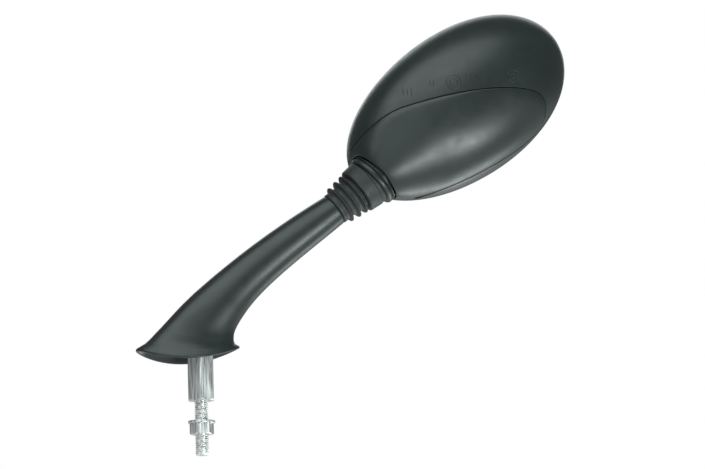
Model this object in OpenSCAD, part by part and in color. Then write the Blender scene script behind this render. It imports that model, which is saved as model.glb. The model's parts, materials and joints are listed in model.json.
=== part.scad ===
// Left-hand clamp-on mirror: a moulded arm on a steel core, a rubber boot over a ball joint, and an
// oval head with a removable lower panel. Millimetres. The origin is the centre of the hex bar's
// lower shoulder, Z runs up the mounting stud, the arm sweeps to +X and the glass faces +Y.

/* [Mounting stud] */
// Width of the hex bar across its flats
hex_af = 15; // [13:0.5:17]
// Turn of the hex bar about the stud
hex_turn = 19; // [0:1:30]
// Height of the hex bar above its shoulder
hex_h = 36; // [33:1:37]
// Diameter of the mounting stud
stud_d = 8; // [6:1:8]
// Length of the stud below the shoulder
stud_drop = 32.5; // [31:0.5:45]
// Distance from the shoulder down to the washer
washer_drop = 11.9; // [6:0.1:15]
// Outer diameter of the washer
washer_d = 16; // [14:0.5:22]
// Width of the lock nut across its flats
nut_af = 13; // [11:0.5:14]
// Height of the lock nut
nut_h = 6.5; // [5:0.1:8]

/* [Foot] */
// Middle of the foot along X
foot_x = -7.4; // [-9:0.1:-5]
// Height of the foot's two tips, on average
foot_z = 30.6; // [28:0.1:32]
// Half the length of the foot
foot_rx = 31; // [28:0.1:34]
// Half the width of the foot
foot_ry = 15.5; // [14:0.5:18]
// How far the sides of the rim hang below its tips
foot_sag = 6.6; // [0:0.1:7]
// How far the arm draws in above the flared rim of the foot
foot_waist = 1.7; // [0:0.1:2]
// Thickness of the moulded wall at the foot
foot_wall = 2.4; // [2:0.1:3]

/* [Arm] */
// Where the arm ends and the boot starts, along X
neck_x = 82.6; // [80:0.1:86]
// Height of the arm's end
neck_z = 114.15; // [111:0.05:117]
// Angle of the arm's end above horizontal
neck_angle = 37.7; // [36:0.1:39]
// Outer radius of the arm's end
neck_r = 9.6; // [9.3:0.1:10.5]
// Diameter of the steel core
core_d = 10; // [9:0.5:10]
// Bend radius of the steel core's centre line
core_bend = 25; // [20:1:25]

/* [Ball joint] */
// Radius of the ball
ball_r = 8; // [7.8:0.1:8]
// Distance from the arm's end to the ball's centre
ball_s = 34; // [34:0.5:36]
// Running clearance on the ball and on its liner
ball_gap = 0.05; // [0.03:0.01:0.1]
// Thickness of the nylon liner
liner_t = 1.95; // [1.8:0.05:1.95]
// Outer radius of the socket's barrel
barrel_r = 12.8; // [12.6:0.1:12.8]
// Angle between the head's neck and the arm's end
head_cant = 5; // [0:0.5:6]

/* [Head] */
// Middle of the head along X
head_x = 159.4; // [158:0.1:163]
// Middle of the head along Z
head_z = 176.5; // [174:0.1:179]
// Tilt of the head's long axis above horizontal
head_angle = 34.6; // [33:0.1:36]
// Half the length of the head
head_a = 74.1; // [72:0.1:76]
// Half the width of the head
head_b = 44; // [42:0.1:46]
// Depth of the shell behind its widest section
head_depth = 35; // [32:0.5:38]
// Y of the widest section
wide_y = 10; // [8:0.5:10]
// Y of the front rim
rim_y = 21; // [21:0.5:23]
// Thickness of the shell
head_wall = 2.6; // [2:0.1:2.8]
// Radius of the shell's neck opening, outside
collar_r = 16.8; // [16.5:0.1:18]
// Gap between the lower panel and the shell
seam_gap = 0.5; // [0.3:0.1:0.8]
// How far the lower panel stands proud of the shell
panel_proud = 0.9; // [0.4:0.1:1.5]
// Thickness of the glass
glass_t = 2; // [1.5:0.1:2]

/* [Hidden] */
$fn = 64;
tiny = 0.01;
stud_r = stud_d / 2;
core_r = core_d / 2;
head_r = core_r + 1.2;                  // swaged end of the core
liner_r = ball_r + ball_gap + liner_t;  // outer radius of the liner
cavity_r = liner_r + ball_gap;          // spherical cavity that the liner turns in
black = [0.13, 0.14, 0.14];
steel = [0.75, 0.76, 0.77];

// ---- placing -------------------------------------------------------------------------------------
// Along the arm's end axis, s from the arm's end towards the head
module on_neck(s) {
    translate([neck_x, 0, neck_z]) rotate([0, 90 - neck_angle, 0]) translate([0, 0, s]) children();
}

// Along the head's neck axis, h from the ball's centre into the head; local Y is the row's Y
module on_head_neck(h) {
    on_neck(ball_s) rotate([0, -head_cant, 0]) translate([0, 0, h]) children();
}

// The head's own plane: local X along its long axis, local Z across it
module in_head() {
    translate([head_x, 0, head_z]) rotate([0, -head_angle, 0]) children();
}

// ---- fasteners -----------------------------------------------------------------------------------
module hex_prism(af, h) {
    cylinder(r = af / 2 / cos(30), h = h, $fn = 6);
}

// Hex nut with chamfered corners on both faces
module hex_nut(af, h, bore_r) {
    difference() {
        intersection() {
            hex_prism(af, h);
            cylinder(r1 = af / 2, r2 = af / 2 + h, h = h);
            cylinder(r1 = af / 2 + h, r2 = af / 2, h = h);
        }
        translate([0, 0, -1]) cylinder(r = bore_r, h = h + 2);
    }
}

// Screw with its head on top of z = 0 and its shank below
module screw(head_r, head_h, r, length) {
    cylinder(r = head_r, h = head_h);
    translate([0, 0, -length]) cylinder(r = r, h = length + tiny);
}

// ---- swept shapes --------------------------------------------------------------------------------
function mix(p, q, t) = p + (q - p) * t;
function bezier(c, t) = len(c) == 1 ? c[0]
    : bezier([for (i = [0:len(c) - 2]) mix(c[i], c[i + 1], t)], t);

// Faces between two neighbouring rings of n points; row and next are ring numbers
function ring_faces(n, row, next) = [for (i = [0:n - 1])
    each [[row * n + i, row * n + (i + 1) % n, next * n + (i + 1) % n],
          [row * n + i, next * n + (i + 1) % n, next * n + i]]];

// Solid through a list of equal rings, closed by flat caps
module loft(rings) {
    n = len(rings[0]);
    last = len(rings) - 1;
    faces = [[for (i = [n - 1:-1:0]) i], [for (i = [0:n - 1]) last * n + i],
             for (k = [0:last - 1]) each ring_faces(n, k, k + 1)];
    polyhedron(points = [for (r = rings) each r], faces = faces);
}

// Solid through a closed loop of rings, such as a sleeve's outside and inside
module loop_loft(rings) {
    n = len(rings[0]);
    m = len(rings);
    polyhedron(points = [for (r = rings) each r],
               faces = [for (k = [0:m - 1]) each ring_faces(n, k, (k + 1) % m)]);
}

// ---- mounting hardware ---------------------------------------------------------------------------
weld_z = 24;  // bottom of the core inside the hex bar
tap_h = 18;   // depth of the tapped hole in the hex bar
washer_t = 1.6;
nut_gap = 0.05;
nut_z = -washer_drop - washer_t - nut_gap - nut_h;  // underside of the nut
free_z = nut_z - 0.15;                              // top of the stud's free end
body_r = 3.6;                                       // shank between the free end and the hex bar

module hex_spacer() {
    color(steel) difference() {
        intersection() {
            rotate([0, 0, hex_turn]) hex_prism(hex_af, hex_h);
            cylinder(r1 = hex_af / 2 + 0.2, r2 = hex_af / 2 + 0.2 + hex_h, h = hex_h);
        }
        translate([0, 0, -1]) cylinder(r = body_r, h = tap_h + 1);
        translate([0, 0, weld_z]) cylinder(r = core_r, h = hex_h);
    }
}

// M8 stud: full size on its free end, and a thinner shank through the nut and the washer
module mounting_stud() {
    tip = 0.8;
    grip = 15;
    color(steel) rotate_extrude()
        polygon([[0, -stud_drop], [stud_r - tip, -stud_drop], [stud_r, -stud_drop + tip],
                 [stud_r, free_z], [body_r, free_z], [body_r, grip], [0, grip]]);
}

hole_gap = 0.02;  // running fit of the washer and the nut on the stud

module washer() {
    color(steel) translate([0, 0, -washer_drop - washer_t]) difference() {
        cylinder(d = washer_d, h = washer_t);
        translate([0, 0, -1]) cylinder(r = stud_r + hole_gap, h = washer_t + 2);
    }
}

module lock_nut() {
    color(steel) translate([0, 0, nut_z]) hex_nut(nut_af, nut_h, stud_r + hole_gap);
}

// ---- arm -----------------------------------------------------------------------------------------
dir = [cos(neck_angle), sin(neck_angle)];
across = [-dir.y, dir.x];
neck_end = [neck_x, neck_z];
tip_rise = 0.9;  // how far the foot's tips are above and below their average
tip_l = [foot_x - foot_rx, foot_z - tip_rise];
tip_r = [foot_x + foot_rx, foot_z + tip_rise];
// Upper and lower edges of the arm in the XZ plane, from its end down to the foot
edge_up = [neck_end + across * neck_r, [42.2, 101.2], [-0.2, 70.6], tip_l];
edge_low = [neck_end - across * neck_r, [59.4, 82.5], [12.6, 50.8], tip_r];
flare_t = 0.68;  // where the foot starts to draw in before its rim
arm_steps = 26;
arm_round = 40;

function drawn_in(t) = t < flare_t ? 0
    : foot_waist * sin(180 * pow((t - flare_t) / (1 - flare_t), 2));

// One ring of the arm at t = 0 (arm's end) to 1 (foot), drawn in by inset
function arm_ring(t, inset) =
    let (up = bezier(edge_up, t), low = bezier(edge_low, t), mid = (up + low) / 2,
         half = (up - low) / 2, less = inset + drawn_in(t), k = 1 - less / norm(half),
         depth = neck_r + (foot_ry - neck_r) * pow(t, 3) - less,
         sag = foot_sag * pow(t, 9))
    [for (i = [0:arm_round - 1]) let (a = 360 * i / arm_round)
        [mid.x + half.x * k * cos(a), depth * sin(a),
         mid.y + half.y * k * cos(a) - sag * pow(sin(a), 2)]];

core_gap = 0.5;  // room round the core's swaged end
function arm_wall(t) = mix(neck_r - head_r - core_gap, foot_wall, t);
boss_x = [-22, 13.5];
boss_r = 3;
boss_h = 11;
rib = [20, 2];   // reach of each boss's rib, which ends in the wall, and its thickness
plate_z = 32;
plate_t = 2.5;

module arm_skin() {
    outer = [for (k = [arm_steps:-1:0]) arm_ring(k / arm_steps, 0)];
    inner = [for (k = [0:arm_steps]) arm_ring(k / arm_steps, arm_wall(k / arm_steps))];
    loop_loft(concat(outer, inner));
}

// Moulded sleeve over the core, with two screw bosses in the foot, each ribbed to the wall beside it.
// Sizes of 0 change nothing: they only ask for the curved form as one closed surface.
module arm_shell() {
    color(black) resize([0, 0, 0]) difference() {
        union() {
            arm_skin();
            intersection() {
                loft([for (k = [arm_steps:-1:0]) arm_ring(k / arm_steps, 1)]);
                for (x = boss_x) translate([x, 0, plate_z + plate_t]) {
                    cylinder(r = boss_r, h = boss_h, $fn = 24);
                    translate([x < 0 ? -rib[0] : 0, -rib[1] / 2, 0]) cube([rib[0], rib[1], boss_h]);
                }
            }
        }
        for (x = boss_x) translate([x, 0, plate_z]) cylinder(r = 1.4, h = 10, $fn = 24);
        translate([0, 0, plate_z]) cylinder(r = 9.5, h = 20, $fn = 24);
    }
}

// Steel rod: up out of the hex bar, round one bend, and along the arm to its swaged end
module arm_core() {
    turn = 90 - neck_angle;
    meet_z = neck_z - neck_x * tan(neck_angle);
    bend_z = meet_z - core_bend * tan(turn / 2);
    swage = 20;
    bend_steps = 10;
    // Each stop: centre in the XZ plane and the rod's angle from vertical
    stops = concat([[[0, weld_z], 0]],
        [for (k = [0:bend_steps]) let (a = turn * k / bend_steps)
            [[core_bend * (1 - cos(a)), bend_z + core_bend * sin(a)], a]],
        [[neck_end - dir * (swage - 1), turn]]);
    color(steel) difference() {
        union() {
            loft([for (p = stops) [for (i = [0:23]) let (b = -15 * i)
                [p[0].x + core_r * cos(b) * cos(p[1]), core_r * sin(b), p[0].y - core_r * cos(b) * sin(p[1])]]]);
            on_neck(-swage) cylinder(r = head_r, h = swage - 0.5);
        }
        on_neck(-17) cylinder(r = stud_r, h = 20);
    }
}

// Plate that closes the foot round the hex bar
module foot_plate() {
    color([0.1, 0.1, 0.1]) difference() {
        translate([foot_x + 0.6, 0, plate_z]) scale([21.5 / 9.8, 1, 1]) cylinder(r = 9.8, h = plate_t);
        translate([0, 0, plate_z - 1]) rotate([0, 0, hex_turn]) hex_prism(hex_af + 0.2, plate_t + 2);
        for (x = boss_x) translate([x, 0, plate_z - 1]) cylinder(r = 1.6, h = plate_t + 2);
    }
}

module foot_screws() {
    color(steel) for (x = boss_x) translate([x, 0, plate_z]) rotate([180, 0, 0]) screw(2.6, 1.8, 1.3, 9);
}

// ---- ball joint ----------------------------------------------------------------------------------
module ball_stud() {
    waist = 3.6;
    foot_s = -16;
    step_s = 8;
    color(steel) on_neck(0) union() {
        translate([0, 0, foot_s]) cylinder(r = stud_r, h = step_s - foot_s);
        cylinder(r = waist, h = ball_s);
        translate([0, 0, ball_s]) sphere(r = ball_r);
    }
}

module jam_nut() {
    color(steel) on_neck(0) hex_nut(nut_af, 5, stud_r);
}

// Nylon liner: a spherical ring round the ball
module ball_liner() {
    half_span = 38;
    color([0.9, 0.9, 0.86]) on_head_neck(0) rotate_extrude()
        polygon(concat([for (a = [-half_span:4:half_span]) liner_r * [cos(a), sin(a)]],
                       [for (a = [half_span:-4:-half_span]) (ball_r + ball_gap) * [cos(a), sin(a)]]));
}

barrel_low = -6.5;   // arm side of the barrel
ear_ring = 12.9;     // radius of the three clamp screws' circle
flange_r = 15.7;
screw_foot = 6.5;    // how far down the clamp screws reach
ear_angles = [-90, 30, 150];
flange_h = [6, 9.5];
tongue_y = [10, 13.4];
frame_holes = [[24.5, -9], [24.5, 9], [41, -9], [41, 9]];

// Barrel with a spherical cavity, a flange for the clamp screws and a flat tongue for the chassis
module socket_base() {
    color([0.2, 0.2, 0.2]) on_head_neck(0) difference() {
        union() {
            translate([0, 0, barrel_low]) cylinder(r = barrel_r, h = flange_h[1] - barrel_low);
            intersection() {
                translate([0, 0, flange_h[0]]) cylinder(r = flange_r, h = flange_h[1] - flange_h[0]);
                translate([-20, -20, 0]) cube([40, 20 + tongue_y[1], 20]);
            }
            translate([-14, tongue_y[0], flange_h[0]]) cube([28, tongue_y[1] - tongue_y[0], 40]);
        }
        rotate_extrude() polygon(concat([[0, -8], [cavity_r * cos(-44), -8]],
            [for (a = [-44:4:0]) cavity_r * [cos(a), sin(a)]],
            [[cavity_r + 0.3, 0], [cavity_r + 0.3, 20], [0, 20]]));
        for (a = ear_angles) rotate([0, 0, a]) translate([ear_ring, 0, screw_foot]) cylinder(r = 1.5, h = 20);
        for (p = frame_holes) translate([p[1], 0, p[0]]) rotate([-90, 0, 0]) cylinder(r = 1.6, h = 20);
    }
}

plate_h = [10.1, 12.6];
spring_top = 17.6;

// Spring-loaded plate that holds the ball in the barrel, flat on the tongue's side
module clamp_plate() {
    color(steel) on_head_neck(0) difference() {
        union() {
            translate([0, 0, plate_h[0]]) cylinder(r = barrel_r, h = plate_h[1] - plate_h[0]);
            translate([0, 0, 4.5]) cylinder(r = cavity_r - 0.15, h = 6);
            for (a = ear_angles) rotate([0, 0, a]) translate([ear_ring, 0, plate_h[0]])
                cylinder(r = 2.8, h = plate_h[1] - plate_h[0]);
        }
        sphere(r = cavity_r);
        translate([-20, tongue_y[0] - 0.2, plate_h[0] - 1]) cube([40, 20, 4]);
        for (a = ear_angles) rotate([0, 0, a]) translate([ear_ring, 0, 0]) cylinder(r = 1.7, h = 20);
    }
}

spring_r = 2.2;
wire_r = 0.35;
spring_turns = 4;
spring_steps = 14;

// Rings of a compression spring's wire
function coil_rings(z0, z1) = [for (k = [0:spring_turns * spring_steps])
    let (a = 360 * k / spring_steps, z = mix(z0, z1, k / (spring_turns * spring_steps)))
    [for (i = [0:5]) let (b = 60 * i, r = spring_r + wire_r * cos(b))
        [r * cos(a), r * sin(a), z + wire_r * sin(b)]]];

module clamp_springs() {
    color(steel) on_head_neck(0) for (a = ear_angles) rotate([0, 0, a]) translate([ear_ring, 0, 0])
        loft([for (r = coil_rings(plate_h[1] + wire_r, spring_top - wire_r)) [for (i = [5:-1:0]) r[i]]]);
}

module clamp_washers() {
    color(steel) on_head_neck(0) for (a = ear_angles) rotate([0, 0, a]) translate([ear_ring, 0, spring_top])
        difference() {
            cylinder(r = 3, h = 0.5);
            translate([0, 0, -1]) cylinder(r = 1.6, h = 3);
        }
}

module clamp_screws() {
    top = spring_top + 0.5;
    color(steel) on_head_neck(0) for (a = ear_angles) rotate([0, 0, a]) translate([ear_ring, 0, top])
        screw(2.7, 2.2, 1.5, top - screw_foot);
}

// ---- boot ----------------------------------------------------------------------------------------
// Each fin: place along the neck and radius of its rim
fins = [[4.8, 12.1], [10, 12.85], [14.7, 13.3]];
collar_s = [18, 25.8];
collar_rim = [14.2, 14.9];
valley_t = 1.4;
// Seat inside the collar that reaches up to the head's neck ring: radii and places on the head's axis
seat_r = [13.2, 13.8];
seat_h = [-10.5, -6.6];

function valley_r(s) = 9.3 + 0.07 * s;
function fin_profile(f) = [[f[0] - 1.5, valley_r(f[0])], [f[0] - 0.5, f[1] - 0.5], [f[0] - 0.1, f[1]],
                           [f[0] + 0.4, f[1] - 0.1], [f[0] + 0.8, f[1] - 0.8], [f[0] + 1.1, valley_r(f[0])]];

// Rubber bellows from the arm's end to the head's neck ring
module boot() {
    outer = concat([[0.15, 9.4], [0.4, 9.8], [3, 9.85]], [for (f = fins) each fin_profile(f)],
                   [[collar_s[0] - 1, valley_r(17)], [collar_s[0] - 0.3, collar_rim[0] - 0.4],
                    [collar_s[0] + 0.4, collar_rim[0]], [collar_s[1] - 0.4, collar_rim[1]],
                    [collar_s[1], collar_rim[1] - 0.4]]);
    inner = [[collar_s[1], 13.2], [19, 12.5], [18, valley_r(17) - valley_t], [5, valley_r(5) - valley_t],
             [0.15, 7.8]];
    color([0.07, 0.07, 0.07]) union() {
        on_neck(0) rotate_extrude($fn = 96) polygon([for (p = concat(outer, inner)) [p[1], p[0]]]);
        on_head_neck(0) rotate_extrude($fn = 96)
            translate([seat_r[0], seat_h[0]]) square([seat_r[1] - seat_r[0], seat_h[1] - seat_h[0]]);
    }
}

ring_h = [-6.5, -3.3];
sleeve_top = 5;
sleeve_r = 14;
ring_edge = 0.9;

// Plastic ring in the head's neck: a rounded lip outside and a sleeve inside
module neck_ring() {
    lip_r = 16.6;
    bore = barrel_r + 0.15;
    color(black) on_head_neck(0) rotate_extrude($fn = 96) difference() {
        union() {
            hull() for (h = [ring_h[0] + ring_edge, ring_h[1] - ring_edge])
                translate([lip_r - ring_edge, h]) circle(r = ring_edge, $fn = 24);
            translate([bore, ring_h[0]]) square([lip_r - ring_edge - bore, ring_h[1] - ring_h[0]]);
            translate([bore, ring_h[0]]) square([sleeve_r - bore, sleeve_top - ring_h[0]]);
        }
    }
}

// ---- head ----------------------------------------------------------------------------------------
head_round = 64;
dome_steps = 9;
dome_power = 2.3;

// Outline of the head in its own plane, a little fuller towards its free end, drawn in by inset
function egg(inset, scale = 1) = [for (i = [0:head_round - 1])
    let (a = 360 * i / head_round, c = cos(a))
    [(head_a - inset) * scale * c, (head_b - inset) * scale * sin(a) * (1 + 0.056 * c + 0.016 * c * c)]];

function egg_ring(inset, scale, y) = [for (p = egg(inset, scale)) [p.x, y, p.y]];

// Rings of the dome from its front rim to the top of its back
function dome_rings(inset, front) = concat(
    front,
    [for (k = [0:dome_steps]) let (a = 88 * k / dome_steps)
        egg_ring(inset, pow(cos(a), 2 / dome_power),
                 wide_y - (head_depth - inset) * pow(sin(a), 2 / dome_power))]);

rim_rings = [egg_ring(2.2, 1, rim_y), egg_ring(1, 1, rim_y - 1.2), egg_ring(0.2, 1, rim_y - 5)];
rim_inset = 4.4;   // inside of the rim from the head's outline
mouth_h = -2;      // the neck's mouth, from the ball's centre
mouth_r = 14.4;

// Room for the boot and the neck ring: all that lies outside the neck's mouth, round its axis
module neck_notch() {
    on_head_neck(mouth_h - 60) cylinder(r = collar_r + 0.3, h = 60);
}

// The head's outer form: dome blended into its round neck; grow swells it evenly
module head_form(grow) {
    front = grow == 0 ? rim_rings : [egg_ring(-grow, 1, wide_y)];
    hull() {
        in_head() loft(dome_rings(-grow, front));
        on_head_neck(mouth_h) cylinder(r = collar_r + grow, h = 0.5, $fn = 48);
    }
}

// The hollow inside the shell, open at the front rim and at the neck
module head_hollow() {
    hull() {
        in_head() loft(dome_rings(head_wall, [egg_ring(rim_inset, 1, rim_y + 1)]));
        on_head_neck(mouth_h - 1) cylinder(r = mouth_r, h = 0.5, $fn = 48);
    }
}

// Corners and handles of the lower panel's outline in the head's plane: a closed chain of curves
panel_curves = [
    [[-84, -2], [-82, 14], [-54, 25], [-32.5, 18.2]],
    [[-32.5, 18.2], [-11.5, 11.4], [21, -1.3], [38, -17.8]],
    [[38, -17.8], [45, -24.6], [42.2, -33.6], [32.6, -38]],
    [[32.6, -38], [15.7, -45.7], [-34.8, -39], [-54, -29.2]],
    [[-54, -29.2], [-66, -28.5], [-84, -26], [-84, -2]]];
panel_outline = [for (c = panel_curves) for (k = [0:9]) bezier(c, k / 10)];
split_y = 8;

// Block that the lower panel is cut with, grown or shrunk by edge
module panel_block(edge) {
    in_head() translate([0, split_y + edge, 0]) rotate([90, 0, 0])
        linear_extrude(60) offset(delta = edge) polygon(panel_outline);
}

post_places = [[-40, 25.5], [-8, 30], [25, 25], [51, 0]];
chassis_y = [13.4, 16.4];

// Main shell with its rim, open under the lower panel, and four screw posts
module back_shell() {
    color(black) resize([0, 0, 0]) difference() {
        union() {
            difference() {
                head_form(0);
                head_hollow();
            }
            intersection() {
                head_form(0);
                in_head() for (p = post_places) translate([p.x, chassis_y[0], p.y]) rotate([90, 0, 0])
                    cylinder(r = 3.4, h = 60, $fn = 24);
            }
        }
        panel_block(seam_gap / 2);
        neck_notch();
        in_head() for (p = post_places) translate([p.x, chassis_y[0] + 1, p.y]) rotate([90, 0, 0])
            cylinder(r = 1.7, h = 13, $fn = 24);
    }
}

// Removable cover over the ball joint, standing a little proud of the shell
module lower_panel() {
    color([0.15, 0.16, 0.16]) resize([0, 0, 0]) intersection() {
        difference() {
            head_form(panel_proud);
            head_hollow();
            neck_notch();
        }
        panel_block(-seam_gap / 2);
    }
}

module egg_plate(y0, y1, inset) {
    translate([0, y1, 0]) rotate([90, 0, 0]) linear_extrude(y1 - y0) polygon(egg(inset));
}

// Moulded plate that ties the ball socket to the shell and backs the glass
module chassis() {
    color([0.1, 0.1, 0.1]) difference() {
        in_head() egg_plate(chassis_y[0], chassis_y[1], 4.6);
        in_head() for (p = post_places) translate([p.x, 0, p.y]) rotate([-90, 0, 0]) {
            cylinder(r = 1.6, h = 30);
            translate([0, 0, chassis_y[1] - 1.6]) cylinder(r = 3, h = 5);
        }
        on_head_neck(0) for (p = frame_holes) translate([p[1], 0, p[0]]) rotate([-90, 0, 0])
            cylinder(r = 1.5, h = chassis_y[1] - 0.6);
        on_head_neck(-20) cylinder(r = sleeve_r + 0.3, h = 20 + sleeve_top + 0.3);
        neck_notch();
    }
}

module chassis_screws() {
    color(steel) in_head() for (p = post_places) translate([p.x, chassis_y[1] - 1.6, p.y])
        rotate([-90, 0, 0]) screw(2.8, 1.5, 1.5, 12);
}

module frame_screws() {
    color(steel) on_head_neck(0) for (p = frame_holes) translate([p[1], tongue_y[0], p[0]])
        rotate([90, 0, 0]) screw(2.8, 2, 1.5, chassis_y[1] - 0.8 - tongue_y[0]);
}

pad_t = 1;
glass_y = chassis_y[1] + pad_t;

module glass_pad() {
    color([0.3, 0.3, 0.3]) in_head() egg_plate(chassis_y[1], glass_y, 8);
}

module mirror_glass() {
    color([0.8, 0.85, 0.88]) in_head() egg_plate(glass_y, glass_y + glass_t, 5.3);
}

// Soft ring that holds the glass in the shell's mouth
module glass_bezel() {
    front = glass_y + glass_t;
    color([0.05, 0.05, 0.05]) in_head() difference() {
        egg_plate(glass_y - 0.8, front + 1, 4.55);
        egg_plate(glass_y - 2, front, 5.3);
        egg_plate(front - 1, front + 2, 7);
    }
}

hex_spacer();
mounting_stud();
washer();
lock_nut();
foot_plate();
foot_screws();
arm_shell();
arm_core();
ball_stud();
jam_nut();
boot();
neck_ring();
ball_liner();
socket_base();
clamp_plate();
clamp_springs();
clamp_washers();
clamp_screws();
chassis();
chassis_screws();
frame_screws();
back_shell();
lower_panel();
glass_pad();
mirror_glass();
glass_bezel();
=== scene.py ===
"""Looks of the bike mirror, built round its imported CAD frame. Lengths in the design are millimetres."""
import json
import math

import bmesh
import bpy
import numpy as np
from mathutils import Matrix, Quaternion, Vector
from mathutils.bvhtree import BVHTree


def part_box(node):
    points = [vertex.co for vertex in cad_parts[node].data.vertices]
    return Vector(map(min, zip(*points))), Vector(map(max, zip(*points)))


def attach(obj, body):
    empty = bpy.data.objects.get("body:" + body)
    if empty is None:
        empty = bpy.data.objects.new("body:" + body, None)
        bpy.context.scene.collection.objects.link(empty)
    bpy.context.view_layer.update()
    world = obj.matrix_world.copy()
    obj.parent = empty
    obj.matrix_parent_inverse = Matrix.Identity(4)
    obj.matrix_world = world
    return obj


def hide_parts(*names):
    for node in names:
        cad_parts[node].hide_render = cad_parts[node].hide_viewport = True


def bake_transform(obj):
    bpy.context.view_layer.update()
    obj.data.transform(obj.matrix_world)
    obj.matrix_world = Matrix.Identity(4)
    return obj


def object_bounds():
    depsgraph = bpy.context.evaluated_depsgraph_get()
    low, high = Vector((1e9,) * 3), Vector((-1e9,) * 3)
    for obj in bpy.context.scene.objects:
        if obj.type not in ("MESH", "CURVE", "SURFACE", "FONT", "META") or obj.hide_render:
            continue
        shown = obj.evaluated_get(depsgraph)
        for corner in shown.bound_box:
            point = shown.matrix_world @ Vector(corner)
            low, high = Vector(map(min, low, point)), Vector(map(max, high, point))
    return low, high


MM = 0.001

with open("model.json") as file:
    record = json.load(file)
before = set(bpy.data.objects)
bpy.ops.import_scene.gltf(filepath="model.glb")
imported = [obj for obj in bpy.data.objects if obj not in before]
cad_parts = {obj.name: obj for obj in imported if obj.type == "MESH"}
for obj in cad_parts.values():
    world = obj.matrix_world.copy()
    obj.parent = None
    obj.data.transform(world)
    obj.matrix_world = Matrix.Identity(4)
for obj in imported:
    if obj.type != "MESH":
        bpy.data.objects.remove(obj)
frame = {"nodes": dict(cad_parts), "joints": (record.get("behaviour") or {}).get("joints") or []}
cad_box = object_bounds()
joints = {j["name"]: j for j in frame["joints"]}

# ---- the design's own dimensions, in millimetres --------------------------------------------------
BALL = Vector(joints["head_swivel"]["pos_m"]) / MM      # ball centre
NECK = Vector(joints["head_swivel"]["axis"])            # arm's end axis, towards the head
ACROSS = Vector(joints["head_tilt"]["axis"])            # across the arm, in its plane
SIDE = Vector((0, 1, 0))                                # out of the glass
BALL_S = 34.0                                           # ball centre from the arm's end
NECK_END = BALL - NECK * BALL_S
HEAD_CANT = math.radians(5.0)                           # the head's neck against the arm's end
HEAD_NECK = NECK * math.cos(HEAD_CANT) + ACROSS * math.sin(HEAD_CANT)
HEAD_ACROSS = ACROSS * math.cos(HEAD_CANT) - NECK * math.sin(HEAD_CANT)

HEAD_A = 74.1                   # half length
HEAD_B = 44.0                   # half width
HEAD_DEPTH = 35.0               # of the dome behind its widest plane
HEAD_ANGLE = math.radians(34.6)
HEAD_LONG = Vector((math.cos(HEAD_ANGLE), 0, math.sin(HEAD_ANGLE)))
HEAD_SHORT = Vector((-math.sin(HEAD_ANGLE), 0, math.cos(HEAD_ANGLE)))
HEAD_FULLER = (0.056, 0.016)    # how much wider the head is towards its free end
DOME_POWER = 2.3                # 2 is an ellipse, higher is fuller
WIDE_Y = 10.0                   # the head's widest plane
RIM_STEPS = [(2.2, 0.0), (1.0, 1.2), (0.2, 5.0)]    # front rim: inset, and depth behind the rim
SPLIT_Y = 8.0                   # plane where the lower panel ends at the front
COLLAR_R = 16.8                 # mouth of the head's neck
COLLAR_H = -2.0
NOTCH_R = COLLAR_R + 0.3        # room for the boot and the neck ring in the neck's mouth
SHELL_T = 2.3
SHELL_MIDDLE = (-12.0, -8.0)    # where the shell's rows spread from, in the head's plane
SEAM_GAP = 0.5
EDGE_ROUND = 0.45
PANEL_LIFT = 0.75               # how far the panel stands over the shell inside its edge
PANEL_EDGE_LIFT = 0.15
PANEL_CROWN = 14                # power of the crown: higher is flatter with a steeper edge
RIM_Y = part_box("back_shell")[1].y / MM
GLASS_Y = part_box("mirror_glass")[0].y / MM
GLASS_INSET = 5.3
BEZEL_INSET = 4.5
BEZEL_LIP = 7.0
GLASS_T = 2.0
GLASS_BULGE = 0.5
GLASS_RADIUS = 1400.0

# Outline of the lower panel in the head's plane, as a closed chain of cubic curves
PANEL_CURVES = [
    [(-84, -2), (-82, 14), (-54, 25), (-32.5, 18.2)],
    [(-32.5, 18.2), (-11.5, 11.4), (21, -1.3), (38, -17.8)],
    [(38, -17.8), (45, -24.6), (42.2, -33.6), (32.6, -38)],
    [(32.6, -38), (15.7, -45.7), (-34.8, -39), (-54, -29.2)],
    [(-54, -29.2), (-66, -28.5), (-84, -26), (-84, -2)]]

# Plain raised marks on the shell in the head's plane: rings by radius, upright bars by length
MARK_RINGS = [(0.0, 13.2, 4.3), (0.0, 13.2, 2.2), (32.5, -4.3, 3.6), (32.5, -4.3, 1.6)]
MARK_BARS = [(-26.6, 26.2, 4.6), (-25.2, 24.2, 3.4), (-23.6, 22.4, 4.6),
             (-11.5, 20.8, 3.0), (-9.9, 19.6, 3.0),
             (8.3, 11.9, 2.8), (11.0, 10.6, 2.8), (13.7, 9.2, 2.8), (16.5, 7.8, 2.8), (19.2, 6.3, 2.8)]
MARK_R = 0.26
MARK_SINK = 0.08

NECK_R = 9.6
FOOT_X = -7.4
FOOT_Z = 30.6
TIP_RISE = 0.9
FOOT_RX = 31.0
FOOT_RY = 15.5
FOOT_SAG = 6.6
FOOT_WAIST = 1.7          # how far the arm draws in above its flared rim
FLARE_T = 0.68            # where the draw-in starts, from 0 at the arm's end to 1 at the foot
ARM_WALL = (2.9, 2.4)     # at the arm's end and at the foot
RIM_BEAD = 0.4            # how far the bead on the foot's rim stands out

# The boot, by place along the arm's end axis
FINS = [(4.8, 12.1), (10.0, 12.85), (14.7, 13.3)]      # place and radius
COLLAR_S = (18.0, 25.8)
COLLAR_RIM = (14.2, 14.9)
BOOT_T = 1.4
BOOT_SPLIT = 17.0
SEAT_R = (13.2, 13.8)       # tube at the collar's end that reaches up to the neck ring
SEAT_H = (-10.5, -6.6)

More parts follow.
